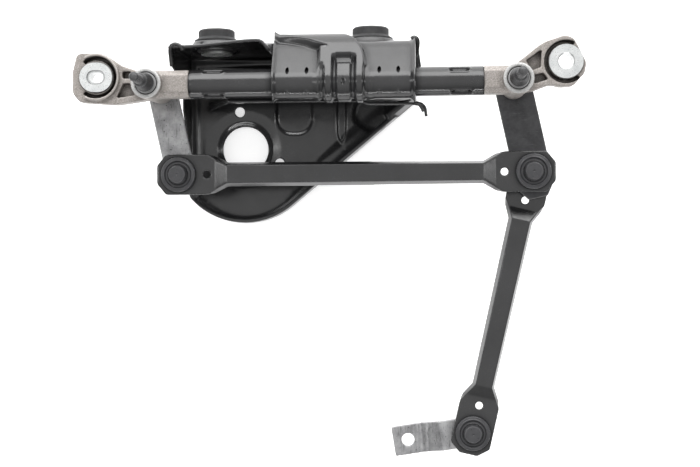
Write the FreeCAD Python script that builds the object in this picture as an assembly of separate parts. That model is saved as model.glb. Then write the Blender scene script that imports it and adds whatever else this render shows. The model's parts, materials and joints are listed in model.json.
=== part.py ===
import FreeCAD, Part
import math
import os
from FreeCAD import Vector

# Windshield wiper linkage. Units are millimetres.
# Origin: centre of the motor pilot hole, on the front face of the motor plate.
# +X runs along the cross tube, +Y points from the pilot hole to the tube, +Z is the way the wiper
# spindles point, out of the motor plate's front face.

os.makedirs("parts", exist_ok=True)

# Layout in the plane of the mechanism
SPINDLE_Y = 50.0
LEFT_X = -69.0
RIGHT_X = 246.0
ARM_DX = 16.5
ARM_DY = -75.5
LOWER_BALL = (208.7, -259.5)
CRANK_HOLE = (150.0, -268.8)

# Heights above the motor plate
ARM_Z = 37.0
ARM_T = 4.0
FRONT_BALL_Z = 51.0
REAR_BALL_Z = 28.0
TUBE_Z = 91.0
BOSS_FRONT_Z = 109.0
BOSS_REAR_Z = 43.0
TIP_Z = 154.0

# Sheet metal bracket
SHEET = 2.0
DISH_R = 69.0
PLATE_LEFT_X = -52.0
PLATE_RIGHT_X = 160.0
RIGHT_WALL_Y = 48.0
SKIRT_DEPTH = 14.0
BEAD_TOP = 2.0
U_RISE = 3.0
RIB_RISE = 2.6
PILOT_R = 21.0
SCREW_PCD = 70.0
SCREW_R = 4.4
SCREW_ANGLES = (97.5, 217.5, 337.5)
ROOF_Y = 85.5
ROOF_FRONT_Z = 98.0
ROOF_LAP_Z = 80.0
BEND = 5.5
SADDLE_X0 = 37.5
SADDLE_X1 = 159.5
DOME_X0 = 50.0
DOME_X1 = 112.0
DOME_RISE = 7.0
SADDLE_REAR_Z = 74.0
SHOULDER_Z = 84.0
LIP_W = 3.0
LIP_RISE = 2.5
SLIT_R = 1.4
SLIT_X = (51.0, 67.6, 129.2, 145.3)
SLIT_Y = (58.0, 60.8)
SLIT_REAR_Z = 98.0
CRADLE_FOOT_Y = 42.0
CRADLE_TOP_X = (0.0, 156.0)
CRADLE_FOOT_X = (-34.0, 138.0)
WRAP_END_Z = 89.0

# Cross tube
TUBE_R = 12.5
TUBE_WALL = 1.5
TUBE_X0 = -34.0
TUBE_X1 = 217.5
SPIGOT_L = 30.0

# Mounting ears at the outer ends of the two bearing housings
LEFT_EAR = (-114.6, 56.7)
RIGHT_EAR = (286.4, 64.7)
EAR_REAR_Z = 84.0
EAR_FRONT_Z = 96.0
EAR_WALL_Z = 100.0
EAR_FLOOR_Z = 88.0
EAR_SLEEVE_Z = (82.0, 98.5)
EAR_SLOT_R = 4.3
EAR_SLOT_HALF = 1.9
EAR_HOLE_R = 6.45
EAR_SEAT_R = 14.4
LEFT_SLEEVE_R = 12.68
GROOVE_INNER_R = 14.9
GROOVE_OUTER_R = 18.2
EAR_RIM_R = 20.4

# Spindles and bearings
SPINDLE_R = 6.0
BUSH_R = 8.0
BUSH_L = 15.0
RUNNING_GAP = 0.03
THREAD_R = 4.0
RING_R = 13.0
RECESS_R = 9.6

# Ball joints
BALL_R = 6.5
SHANK_R = 4.5
SOCKET_GAP = 0.06
OPEN_PIVOT_GAP = 0.35
SOCKET_BODY_R = 11.0
SOCKET_FLANGE_R = 15.6
DOME_H = 10.0

# Pressed steel links
ROD_T = 2.5
ROD_PLATE_HALF = 18.0
ROD_PLATE_L = 27.0
ROD_WEB_RISE = 4.8
ROD_FLANGE_DROP = 5.0
ROD_HOLE_R = 3.4
ROD_HOLE_OFFSET = 25.5

# Motor crank
CRANK_T = 4.5
CRANK_LOW_Z = 4.0
CRANK_HIGH_Z = 14.0
CRANK_HALF = 13.4
CRANK_BORE_R = 5.9

# Rubber mounts
MOUNT_X = (-17.7, 119.9)
MOUNT_Z = 49.0
MOUNT_BORE_R = 4.25
MOUNT_SLEEVE_R = 6.0

# Cutting tools reach past the whole part
FAR = 400.0
FRONT = 120.0

X_AXIS = Vector(1, 0, 0)
Y_AXIS = Vector(0, 1, 0)
Z_AXIS = Vector(0, 0, 1)


def save(shape, node):
    shape.exportStep("parts/" + node + ".step")


def cyl(r, x, y, z0, z1):
    return Part.makeCylinder(r, z1 - z0, Vector(x, y, z0), Z_AXIS)


def box(x0, x1, y0, y1, z0, z1):
    return Part.makeBox(x1 - x0, y1 - y0, z1 - z0, Vector(x0, y0, z0))


def fuse(shapes):
    return shapes[0].multiFuse(shapes[1:]).removeSplitter()


def rounded_wire(points, z=0.0):
    """Closed wire through (x, y, corner radius) points, with tangent arcs at the corners."""
    edges = []
    ends = []
    count = len(points)
    for i in range(count):
        here = Vector(points[i][0], points[i][1], z)
        back = Vector(points[i - 1][0], points[i - 1][1], z) - here
        ahead = Vector(points[(i + 1) % count][0], points[(i + 1) % count][1], z) - here
        back.normalize()
        ahead.normalize()
        radius = points[i][2]
        if radius <= 0.0:
            ends.append((here, None, here))
            continue
        half = back.getAngle(ahead) / 2.0
        reach = radius / math.tan(half)
        middle = back + ahead
        middle.normalize()
        crown = here + middle * (radius / math.sin(half) - radius)
        ends.append((here + back * reach, crown, here + ahead * reach))
    for i in range(count):
        start, crown, stop = ends[i]
        if crown is not None:
            edges.append(Part.Arc(start, crown, stop).toShape())
        following = ends[(i + 1) % count][0]
        if stop.distanceToPoint(following) > 1e-6:
            edges.append(Part.makeLine(stop, following))
    return Part.Wire(edges)


def plate(points, z0, z1):
    return Part.Face(rounded_wire(points, z0)).extrude(Vector(0, 0, z1 - z0))


def frustum(lower, upper):
    return Part.makeLoft([lower, upper], True, True)


def local(points, origin, angle):
    """Points given along a link, turned by angle (degrees) and moved to origin."""
    c = math.cos(math.radians(angle))
    s = math.sin(math.radians(angle))
    return [(origin[0] + x * c - y * s, origin[1] + x * s + y * c, r) for x, y, r in points]


def revolve(profile, x, y):
    """Solid of revolution about the vertical line through (x, y), from (radius, z) points."""
    points = [Vector(x + r, y, z) for r, z in profile]
    face = Part.Face(Part.makePolygon(points + points[:1]))
    return face.revolve(Vector(x, y, 0), Z_AXIS, 360)


# ---------------------------------------------------------------- bracket

def plate_outline(inset, z):
    """Outline of the motor plate: a round dish with a tangent diagonal edge, inset by a distance."""
    r = DISH_R - inset
    left = PLATE_LEFT_X + inset
    right = PLATE_RIGHT_X - inset
    top = ROOF_Y - inset
    tangent = math.radians(-50.3)
    run = Vector(-math.sin(tangent), math.cos(tangent), 0)
    touch = Vector(r * math.cos(tangent), r * math.sin(tangent), z)
    corner = touch + run * ((right - touch.x) / run.x)
    low = -math.sqrt(r * r - left * left)
    a = math.atan2(low, left)
    middle = (a + tangent) / 2.0
    arc = Part.Arc(Vector(left, low, z), Vector(r * math.cos(middle), r * math.sin(middle), z), touch)
    edges = [
        arc.toShape(),
        Part.makeLine(touch, corner),
        Part.makeLine(corner, Vector(right, top, z)),
        Part.makeLine(Vector(right, top, z), Vector(left, top, z)),
        Part.makeLine(Vector(left, top, z), Vector(left, low, z)),
    ]
    return Part.Wire(edges)


def u_relief(grow, z):
    return rounded_wire([(32.0 - grow, 70.0, 3.0), (32.0 - grow, 15.5 - grow, 12.0 + grow),
                         (61.5 + grow, 15.5 - grow, 12.0 + grow), (61.5 + grow, 70.0, 3.0)], z)


def rib_relief(grow, z):
    return rounded_wire([(87.6 - grow, 72.0, 1.0), (87.6 - grow, 12.0, 1.0), (90.6, 5.0 - grow, 1.0),
                         (93.6 + grow, 12.0, 1.0), (93.6 + grow, 72.0, 1.0)], z)


def pressed_skin(t):
    """Everything under one skin of the pressed plate; t is how far that skin lies below the front."""
    skirt = frustum(plate_outline(t, -SKIRT_DEPTH - t), plate_outline(3.5 + t, BEAD_TOP - t))
    sunk = frustum(plate_outline(10.5 - t, -t), plate_outline(8.0 - t, BEAD_TOP - t + 0.01))
    body = skirt.cut(sunk)
    body = body.fuse(frustum(u_relief(4.0 - t, -t - 0.5), u_relief(-t, U_RISE - t)))
    body = body.fuse(frustum(rib_relief(2.5 - t / 2.0, -t - 0.5), rib_relief(-t / 2.0, RIB_RISE - t)))
    drop = Part.makeCone(18.0 + t, 13.0 + t, 5.0, Vector(117.0, 33.0, -t + 0.01), Vector(0, 0, -1))
    return body.cut(drop)


def motor_plate():
    pressing = pressed_skin(0.0).cut(pressed_skin(SHEET))
    collar = Part.makeCone(PILOT_R + 4.0, PILOT_R + 7.5, 5.0, Vector(0, 0, -5.0), Z_AXIS)
    dip = Part.makeCone(PILOT_R + 1.2, PILOT_R + 5.2, 3.2, Vector(0, 0, -3.2), Z_AXIS)
    pressing = pressing.fuse(collar).cut(dip)
    pressing = pressing.cut(cyl(PILOT_R, 0, 0, -FAR, FAR))
    for angle in SCREW_ANGLES:
        a = math.radians(angle)
        x = SCREW_PCD / 2.0 * math.cos(a)
        y = SCREW_PCD / 2.0 * math.sin(a)
        pressing = pressing.cut(cyl(SCREW_R, x, y, -FAR, FAR))
    roof = box(PLATE_LEFT_X, SADDLE_X0, ROOF_Y - SHEET, ROOF_Y, -SHEET, ROOF_FRONT_Z)
    roof = roof.fuse(box(SADDLE_X0 - 1, PLATE_RIGHT_X, ROOF_Y - SHEET, ROOF_Y, -SHEET, ROOF_LAP_Z))
    side = [Vector(0, low, z) for low, z in ((-24.0, -4.0), (-14.0, 4.0), (34.0, 33.0), (55.0, 33.0),
                                             (68.0, 88.0), (ROOF_Y, ROOF_FRONT_Z), (ROOF_Y, -4.0))]
    side = Part.Face(Part.makePolygon(side + side[:1]))
    left = side.extrude(Vector(SHEET, 0, 0)).translated(Vector(PLATE_LEFT_X, 0, 0))
    right = side.extrude(Vector(-SHEET, 0, 0)).translated(Vector(PLATE_RIGHT_X, 0, 0))
    right = right.cut(box(0, FAR, -FAR, RIGHT_WALL_Y, -FAR, FAR))
    right = right.cut(box(0, FAR, -FAR, FAR, SADDLE_REAR_Z, FAR))
    bends = [box(PLATE_LEFT_X, PLATE_RIGHT_X, ROOF_Y - BEND, ROOF_Y, -SHEET, 0.5),
             box(PLATE_LEFT_X, PLATE_LEFT_X + BEND, -20.0, ROOF_Y, -SHEET, 0.5),
             box(PLATE_RIGHT_X - BEND, PLATE_RIGHT_X, RIGHT_WALL_Y, ROOF_Y, -SHEET, 0.5)]
    body = fuse([pressing, roof, left, right] + bends)
    for x in MOUNT_X:
        seat = Part.makeCone(24.0, 20.5, 7.0, Vector(x, ROOF_Y - 0.01, MOUNT_Z), Y_AXIS)
        under = Part.makeCone(22.0, 18.5, 7.01, Vector(x, ROOF_Y - SHEET - 0.01, MOUNT_Z), Y_AXIS)
        hole = Part.makeCylinder(12.0, 30.0, Vector(x, ROOF_Y - 10, MOUNT_Z), Y_AXIS)
        body = body.fuse(seat).cut(under).cut(hole)
    return body


def tube_cradle():
    """Leaning wall from the front of the bracket's plate up to the saddle's hem, under the tube."""
    top_y = SPINDLE_Y - TUBE_R - SHEET
    foot = [Vector(x, CRADLE_FOOT_Y, 0) for x in CRADLE_FOOT_X]
    top = [Vector(x, top_y, WRAP_END_Z) for x in reversed(CRADLE_TOP_X)]
    front = foot + top
    wall = Part.Face(Part.makePolygon(front + front[:1])).extrude(Vector(0, SHEET, 0))
    for x0, x1, height in ((28.0, 65.5, U_RISE), (85.1, 96.1, RIB_RISE)):
        wall = wall.cut(box(x0, x1, 0, FAR, -1, height))
    return wall


def saddle_profile(inset, rise, x):
    """Closed section of the saddle at x: flat roof, sloped shoulder, half wrap round the tube."""
    r = TUBE_R + SHEET - inset
    top = ROOF_Y + SHEET - inset
    hem = Vector(x, SPINDLE_Y - r, TUBE_Z)
    lean = math.radians(35.0)
    leave = Vector(x, SPINDLE_Y + r * math.sin(lean), TUBE_Z + r * math.cos(lean))
    nose = Vector(x, SPINDLE_Y, TUBE_Z + r)
    knee = Vector(x, top + rise, SHOULDER_Z - inset * 0.7)
    crown = Vector(x, top + rise * 0.7, SADDLE_REAR_Z)
    foot = Vector(x, SPINDLE_Y - r, SADDLE_REAR_Z)
    wrap = Part.Arc(hem, nose, leave)
    return Part.Wire([wrap.toShape(), Part.makeLine(leave, knee), Part.makeLine(knee, crown),
                      Part.makeLine(crown, foot), Part.makeLine(foot, hem)])


def saddle_prism(inset, x0, x1):
    return Part.Face(saddle_profile(inset, 0.0, x0)).extrude(Vector(x1 - x0, 0, 0))


def saddle_dome(inset):
    stations = ((DOME_X0 - 6.0, 0.0), (DOME_X0 + 4.0, DOME_RISE),
                (DOME_X1 - 8.0, DOME_RISE), (DOME_X1, 0.0))
    return Part.makeLoft([saddle_profile(inset, rise, x) for x, rise in stations], True, True)


def slit(x):
    """Short upright oblong hole through the saddle's front."""
    low, high = SLIT_Y
    body = cyl(SLIT_R, x, low, SLIT_REAR_Z, FRONT).fuse(cyl(SLIT_R, x, high, SLIT_REAR_Z, FRONT))
    return body.fuse(box(x - SLIT_R, x + SLIT_R, low, high, SLIT_REAR_Z, FRONT))


def tube_saddle():
    under_tube = box(0, FAR, 0, SPINDLE_Y, 0, WRAP_END_Z)
    behind = box(0, FAR, 0, ROOF_Y + 0.01, 0, SADDLE_REAR_Z + 0.5)
    shell = saddle_prism(0.0, SADDLE_X0, SADDLE_X1).fuse(saddle_dome(0.0))
    shell = shell.cut(saddle_prism(SHEET, SADDLE_X0 - 1, SADDLE_X1 + 1)).cut(saddle_dome(SHEET))
    shell = shell.cut(under_tube).cut(behind)
    for x in (SADDLE_X0, SADDLE_X1 - LIP_W):
        lip = saddle_prism(-LIP_RISE, x, x + LIP_W).cut(saddle_prism(SHEET, x - 1, x + LIP_W + 1))
        shell = shell.fuse(lip.cut(under_tube).cut(behind))
    for x in SLIT_X:
        shell = shell.cut(slit(x))
    tab = plate([(158.0, 37.0, 1.0), (163.5, 35.0, 1.0), (168.5, 24.0, 0.8), (165.0, 22.8, 0.8),
                 (160.0, 33.0, 1.0), (157.0, 34.0, 1.0)], TUBE_Z - 1.0, TUBE_Z + 1.0)
    return shell.fuse(tab).removeSplitter()


# ---------------------------------------------------------------- tube and housings

def cross_tube():
    length = TUBE_X1 - TUBE_X0
    start = Vector(TUBE_X0, SPINDLE_Y, TUBE_Z)
    tube = Part.makeCylinder(TUBE_R, length, start, X_AXIS)
    tube = tube.cut(Part.makeCylinder(TUBE_R - TUBE_WALL, length, start, X_AXIS))
    for x in (-14.0, 196.5):
        for turn in (78.0, -45.0):
            dent = Part.makeCylinder(2.6, 4.0, Vector(-6.0, 0, TUBE_R - 1.0), Z_AXIS)
            dent = dent.fuse(Part.makeCylinder(2.6, 4.0, Vector(6.0, 0, TUBE_R - 1.0), Z_AXIS))
            dent = dent.fuse(box(-6.0, 6.0, -2.6, 2.6, TUBE_R - 1.0, TUBE_R + 3.0))
            dent.rotate(Vector(0, 0, 0), X_AXIS, -turn)
            dent.translate(Vector(x, SPINDLE_Y, TUBE_Z))
            tube = tube.cut(dent)
    return tube


def boss(x):
    profile = [(0, BOSS_REAR_Z), (11.2, BOSS_REAR_Z), (11.6, 62.0), (12.4, 84.0), (RING_R, BOSS_FRONT_Z - 4),
               (RING_R, BOSS_FRONT_Z), (0, BOSS_FRONT_Z)]
    return revolve(profile, x, SPINDLE_Y)


def bearing_bore(x):
    bore = cyl(SPINDLE_R + 0.6, x, SPINDLE_Y, BOSS_REAR_Z - 1, BOSS_FRONT_Z + 1)
    bore = bore.fuse(cyl(BUSH_R, x, SPINDLE_Y, BOSS_REAR_Z - 1, BOSS_REAR_Z + BUSH_L))
    bore = bore.fuse(cyl(BUSH_R, x, SPINDLE_Y, BOSS_FRONT_Z - 8 - BUSH_L, BOSS_FRONT_Z + 1))
    return bore.fuse(cyl(RECESS_R, x, SPINDLE_Y, BOSS_FRONT_Z - 8, BOSS_FRONT_Z + 1))


def neck(x_boss, x_tube, way):
    """Octagonal neck from the boss to the tube's end, and the round spigot inside the tube."""
    half_y, half_z, bevel = 11.6, 11.0, 4.0
    ring = [(-half_y + bevel, -half_z), (half_y - bevel, -half_z), (half_y, -half_z + bevel),
            (half_y, half_z - bevel), (half_y - bevel, half_z), (-half_y + bevel, half_z),
            (-half_y, half_z - bevel), (-half_y, -half_z + bevel)]
    points = [Vector(x_boss, SPINDLE_Y + y, TUBE_Z + z) for y, z in ring]
    body = Part.Face(Part.makePolygon(points + points[:1])).extrude(Vector(x_tube - x_boss, 0, 0))
    direction = Vector(way, 0, 0)
    start = Vector(x_tube - way * 2, SPINDLE_Y, TUBE_Z)
    return body.fuse(Part.makeCylinder(TUBE_R - TUBE_WALL - 0.02, SPIGOT_L + 2, start, direction))


def groove(cx, cy, keep_from, keep_to, depth_z):
    """C-shaped recess round an ear sleeve, open between two angles (degrees)."""
    ring = cyl(GROOVE_OUTER_R, cx, cy, depth_z, FRONT).cut(cyl(GROOVE_INNER_R, cx, cy, 0, FRONT + 1))
    far = 2 * GROOVE_OUTER_R
    sweep = [Vector(cx, cy, 0)]
    for k in range(7):
        a = math.radians(keep_from + (keep_to - keep_from) * k / 6.0)
        sweep.append(Vector(cx + far * math.cos(a), cy + far * math.sin(a), 0))
    wedge = Part.Face(Part.makePolygon(sweep + sweep[:1])).extrude(Vector(0, 0, FAR))
    return ring.cut(wedge)


def left_housing():
    outline = [(-135.5, 62.0, 14.0), (-131.5, 77.8, 5.0), (-109.0, 77.6, 16.0), (-92.0, 66.5, 14.0),
               (-80.0, 62.5, 8.0), (-60.0, 61.5, 2.0), (-60.0, 38.5, 2.0), (-79.0, 35.8, 8.0),
               (-98.0, 33.2, 30.0), (-129.5, 35.6, 6.0), (-135.6, 43.5, 8.0)]
    x, y = LEFT_EAR
    ear = plate(outline, EAR_REAR_Z, EAR_FRONT_Z)
    wall = cyl(EAR_RIM_R, x, y, EAR_FLOOR_Z + 2, EAR_WALL_Z)
    wall = wall.cut(groove(x, y, 120.0, 240.0, EAR_FLOOR_Z + 1))
    wall = wall.cut(cyl(GROOVE_INNER_R + 0.05, x, y, 0, FRONT))
    wall = wall.cut(box(-FAR, x - 9.4, 0, FAR, EAR_FRONT_Z, FRONT))
    body = fuse([ear, wall, boss(LEFT_X), neck(LEFT_X, TUBE_X0, 1)])
    body = body.cut(groove(x, y, 130.0, 230.0, EAR_FLOOR_Z))
    round_boss = cyl(RING_R + 0.1, LEFT_X, SPINDLE_Y, 0, FRONT)
    lower_pocket = [(-91.5, 51.5, 1.0), (-85.5, 51.5, 1.0), (-81.5, 41.0, 1.0), (-97.6, 38.8, 1.0)]
    upper_pocket = [(-92.0, 61.7, 1.0), (-84.5, 61.7, 1.0), (-84.5, 55.5, 1.0), (-92.0, 55.5, 1.0)]
    for pocket in (lower_pocket, upper_pocket):
        body = body.cut(plate(pocket, EAR_FLOOR_Z, FRONT).cut(round_boss))
    return body.cut(oblong(x, y, LEFT_SLEEVE_R + 0.02, 1.6, 0, FRONT)).cut(bearing_bore(LEFT_X))


def right_housing():
    outline = [(286.5, 87.4, 9.0), (293.5, 84.0, 7.0), (303.6, 64.0, 9.0), (302.2, 55.0, 8.0),
               (292.5, 44.2, 8.0), (281.0, 43.4, 14.0), (274.0, 46.0, 14.0), (259.0, 40.6, 8.0),
               (237.0, 38.5, 2.0), (237.0, 61.5, 2.0), (247.0, 65.5, 10.0), (267.0, 81.2, 30.0)]
    x, y = RIGHT_EAR
    ear = plate(outline, EAR_REAR_Z, EAR_FRONT_Z)
    body = fuse([ear, boss(RIGHT_X), neck(RIGHT_X, TUBE_X1, -1)])
    body = body.cut(groove(x, y, -50.0, 65.0, EAR_FLOOR_Z))
    kept = cyl(RING_R + 0.1, RIGHT_X, SPINDLE_Y, 0, FRONT).fuse(cyl(EAR_RIM_R - 0.4, x, y, 0, FRONT))
    upper_pocket = [(252.8, 66.0, 1.0), (266.2, 75.5, 1.0), (265.2, 60.0, 1.0), (258.0, 57.5, 1.0)]
    lower_pocket = [(259.5, 53.8, 1.0), (267.4, 55.5, 1.0), (271.5, 49.8, 1.0), (259.5, 46.2, 1.0)]
    for pocket in (upper_pocket, lower_pocket):
        body = body.cut(plate(pocket, EAR_FLOOR_Z, FRONT).cut(kept))
    return body.cut(cyl(EAR_SEAT_R, x, y, 0, FRONT)).cut(bearing_bore(RIGHT_X))


def oblong(x, y, r, half, z0, z1):
    """Solid oblong standing on its end: two half rounds of radius r, half apart from the centre."""
    return plate([(x - half - r, y - r, r), (x + half + r, y - r, r), (x + half + r, y + r, r - 0.001),
                  (x - half - r, y + r, r - 0.001)], z0, z1)


def left_ear_sleeve():
    x, y = LEFT_EAR
    rear, front = EAR_SLEEVE_Z
    body = oblong(x, y, LEFT_SLEEVE_R, 1.6, rear, front)
    body = body.cut(oblong(x, y, EAR_SLOT_R, EAR_SLOT_HALF, 0, FRONT))
    return body.cut(oblong(x, y, EAR_SLOT_R + 1.8, EAR_SLOT_HALF + 0.1, front - 1.2, FRONT))


def right_ear_sleeve():
    x, y = RIGHT_EAR
    rear, front = EAR_SLEEVE_Z
    body = cyl(EAR_SEAT_R - 0.02, x, y, rear, front).cut(cyl(EAR_HOLE_R, x, y, 0, FRONT))
    size = 0.85
    chamfer = Part.makeCone(EAR_HOLE_R, EAR_HOLE_R + size, size, Vector(x, y, front - size), Z_AXIS)
    return body.cut(chamfer)


def bush(x, z0):
    outer = cyl(BUSH_R - 0.01, x, SPINDLE_Y, z0, z0 + BUSH_L)
    return outer.cut(cyl(SPINDLE_R + RUNNING_GAP, x, SPINDLE_Y, z0 - 1, z0 + BUSH_L + 1))


def spindle_seal(x):
    lip_r = SPINDLE_R + 0.4
    profile = [(lip_r, BOSS_FRONT_Z - 7.5), (RECESS_R - 0.05, BOSS_FRONT_Z - 7.5),
               (RECESS_R - 0.05, BOSS_FRONT_Z - 2.5), (RECESS_R - 1.2, BOSS_FRONT_Z - 2.0),
               (lip_r + 0.8, BOSS_FRONT_Z - 3.2), (lip_r, BOSS_FRONT_Z - 4.0)]
    return revolve(profile, x, SPINDLE_Y)


# ---------------------------------------------------------------- rubber mounts

def rubber_mount(x):
    profile = [(MOUNT_SLEEVE_R, 83.3), (16.0, 83.3), (17.6, 84.4), (17.6, 89.4), (16.6, 90.45),
               (11.95, 90.45), (11.95, 92.55), (19.8, 92.55), (19.8, 93.6), (16.6, 95.6), (16.2, 96.2),
               (16.2, 101.6), (14.8, 103.0), (MOUNT_SLEEVE_R, 103.0)]
    points = [Vector(x + r, y, MOUNT_Z) for r, y in profile]
    face = Part.Face(Part.makePolygon(points + points[:1]))
    return face.revolve(Vector(x, 0, MOUNT_Z), Y_AXIS, 360)


def mount_sleeve(x):
    profile = [(MOUNT_BORE_R, 81.2), (14.0, 81.2), (14.0, 83.2), (MOUNT_SLEEVE_R - 0.02, 83.2),
               (MOUNT_SLEEVE_R - 0.02, 102.0), (MOUNT_BORE_R, 102.0)]
    points = [Vector(x + r, y, MOUNT_Z) for r, y in profile]
    face = Part.Face(Part.makePolygon(points + points[:1]))
    return face.revolve(Vector(x, 0, MOUNT_Z), Y_AXIS, 360)


# ---------------------------------------------------------------- spindles and arms

def spindle(x):
    profile = [(0, ARM_Z - 1.0), (SPINDLE_R + 1.5, ARM_Z - 1.0), (SPINDLE_R + 1.5, ARM_Z - 0.05),
               (SPINDLE_R, ARM_Z - 0.05), (SPINDLE_R, BOSS_FRONT_Z + 0.5), (8.0, BOSS_FRONT_Z + 1.5),
               (8.0, BOSS_FRONT_Z + 5.0), (6.4, BOSS_FRONT_Z + 21.0), (THREAD_R - 0.4, BOSS_FRONT_Z + 22.5),
               (THREAD_R - 0.4, BOSS_FRONT_Z + 24.0), (THREAD_R, BOSS_FRONT_Z + 24.4),
               (THREAD_R, TIP_Z - 1.0), (THREAD_R - 1.0, TIP_Z), (0, TIP_Z)]
    return revolve(profile, x, SPINDLE_Y)


def washer(x, r, z0, z1):
    return cyl(r, x, SPINDLE_Y, z0, z1).cut(cyl(SPINDLE_R + 0.02, x, SPINDLE_Y, z0 - 1, z1 + 1))


def arm_angle():
    return math.degrees(math.atan2(ARM_DY, ARM_DX))


def arm_length():
    return math.hypot(ARM_DX, ARM_DY)


def crank_arm(x, half, beyond, facet):
    """Flat arm from the spindle to its ball, with a rounded top and a faceted lower end."""
    far = arm_length() + beyond
    points = [(-half - 0.5, -half, half - 0.3), (far - facet * 1.4, -half, 1.5), (far, -half + facet, 1.5),
              (far, half - facet, 1.5), (far - facet * 1.4, half, 1.5), (-half - 0.5, half, half - 0.3)]
    arm = plate(local(points, (x, SPINDLE_Y), arm_angle()), ARM_Z, ARM_Z + ARM_T)
    arm = arm.cut(cyl(SPINDLE_R + 0.01, x, SPINDLE_Y, ARM_Z - 1, ARM_Z + ARM_T + 1))
    return arm.cut(cyl(SHANK_R + 0.01, x + ARM_DX, SPINDLE_Y + ARM_DY, ARM_Z - 1, ARM_Z + ARM_T + 1))


def ball(x, y, z):
    return Part.makeSphere(BALL_R, Vector(x, y, z))


def left_ball_stud():
    x = LEFT_X + ARM_DX
    y = SPINDLE_Y + ARM_DY
    shank = cyl(SHANK_R, x, y, ARM_Z - 0.5, FRONT_BALL_Z)
    collar = cyl(6.5, x, y, ARM_Z + ARM_T + 0.02, ARM_Z + ARM_T + 1.2)
    head = Part.makeCone(5.4, 6.2, 1.3, Vector(x, y, ARM_Z - 1.32), Z_AXIS)
    return fuse([shank, collar, head, ball(x, y, FRONT_BALL_Z)])


def right_ball_stud():
    x = RIGHT_X + ARM_DX
    y = SPINDLE_Y + ARM_DY
    shank = cyl(SHANK_R, x, y, REAR_BALL_Z, FRONT_BALL_Z)
    front = cyl(6.5, x, y, ARM_Z + ARM_T + 0.02, ARM_Z + ARM_T + 1.2)
    rear = cyl(6.0, x, y, ARM_Z - 1.2, ARM_Z - 0.02)
    return fuse([shank, front, rear, ball(x, y, FRONT_BALL_Z), ball(x, y, REAR_BALL_Z)])


# ---------------------------------------------------------------- links

def socket(x, y, z, way, gap):
    """Plastic ball socket round a ball at height z; way is +1 with its dome up, -1 with its dome down."""
    profile = [(0, DOME_H), (7.4, DOME_H), (8.4, DOME_H - 0.7), (9.4, 3.6), (11.6, 3.6), (11.9, 4.6),
               (13.0, 4.6), (13.4, 4.1), (14.9, 4.1), (SOCKET_FLANGE_R, 3.4), (SOCKET_FLANGE_R, 1.27),
               (SOCKET_BODY_R - 0.02, 1.27), (SOCKET_BODY_R - 0.02, -1.27), (12.6, -1.27), (12.2, -4.6),
               (0, -4.6)]
    cup = revolve(profile, 0, 0)
    cup = cup.cut(Part.makeSphere(BALL_R + gap, Vector(0, 0, 0)))
    cup = cup.cut(cyl(5.9, 0, 0, -6.0, 0.0))
    if way < 0:
        cup.rotate(Vector(0, 0, 0), X_AXIS, 180)
    cup.translate(Vector(x, y, z))
    return cup


def end_plate(x, way):
    """Flat end of a link round the ball at x, with cut corners; way points along the link."""
    half = ROD_PLATE_HALF
    points = [(x - way * 19.5, -8.2, 2.0), (x - way * 11.5, -half, 3.0), (x + way * ROD_PLATE_L, -half, 2.0),
              (x + way * ROD_PLATE_L, half, 2.0), (x - way * 11.5, half, 3.0), (x - way * 19.5, 8.2, 2.0)]
    if way < 0:
        points.reverse()
    return plate(points, -ROD_T / 2.0, ROD_T / 2.0)


def channel_skin(length, t):
    """Everything under one skin of the raised channel between the two end plates of a link."""
    low = ROD_T / 2.0
    high = low + ROD_WEB_RISE
    foot = -ROD_FLANGE_DROP - t
    stations = [(ROD_PLATE_L - 0.1, 18.0, 18.0, low), (33.0, 16.6, 13.6, low), (44.0, 11.2, 8.2, high),
                (length - 44.0, 10.2, 7.4, high), (length - 33.0, 16.6, 13.6, low),
                (length - ROD_PLATE_L + 0.1, 18.0, 18.0, low)]
    wires = []
    for x, base, crest, top in stations:
        ring = [(t - base, foot), (t - crest, top - t), (crest - t, top - t), (base - t, foot)]
        points = [Vector(x, y, z) for y, z in ring]
        wires.append(Part.makePolygon(points + points[:1]))
    return Part.makeLoft(wires, True, True)


def pressed_link(length):
    """Pressed steel link lying along +X: a flat plate round each ball, a raised channel between."""
    channel = channel_skin(length, 0.0).cut(channel_skin(length, ROD_T))
    body = fuse([end_plate(0.0, 1), end_plate(length, -1), channel])
    for x in (0.0, length):
        body = body.cut(cyl(SOCKET_BODY_R, x, 0, -20, 20))
    for x in (ROD_HOLE_OFFSET, length - ROD_HOLE_OFFSET):
        body = body.cut(cyl(ROD_HOLE_R, x, 0, -20, 20))
    return body


def place(shape, x, y, z, angle):
    shape.rotate(Vector(0, 0, 0), Z_AXIS, angle)
    shape.translate(Vector(x, y, z))
    return shape


# ---------------------------------------------------------------- motor crank

def motor_crank():
    dx = LOWER_BALL[0] - CRANK_HOLE[0]
    dy = LOWER_BALL[1] - CRANK_HOLE[1]
    length = math.hypot(dx, dy)
    low, high, t = CRANK_LOW_Z, CRANK_HIGH_Z, CRANK_T
    side = [(-13.5, low), (15.0, low), (32.0, high), (length + 14.0, high), (length + 14.0, high + t),
            (30.5, high + t), (13.5, low + t), (-13.5, low + t)]
    points = [Vector(x, -CRANK_HALF, z) for x, z in side]
    strap = Part.Face(Part.makePolygon(points + points[:1])).extrude(Vector(0, 2 * CRANK_HALF, 0))
    outline = [(-13.5, -CRANK_HALF, 1.0), (length + 13.4, -CRANK_HALF, 12.5),
               (length + 13.4, CRANK_HALF, 12.5), (-13.5, CRANK_HALF, 1.0)]
    strap = strap.common(plate(outline, low - 1, high + t + 1))
    strap = strap.cut(cyl(CRANK_BORE_R, 0, 0, low - 1, low + t + 1))
    strap = strap.cut(cyl(SHANK_R + 0.01, length, 0, high - 1, high + t + 1))
    return place(strap, CRANK_HOLE[0], CRANK_HOLE[1], 0, math.degrees(math.atan2(dy, dx)))


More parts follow.
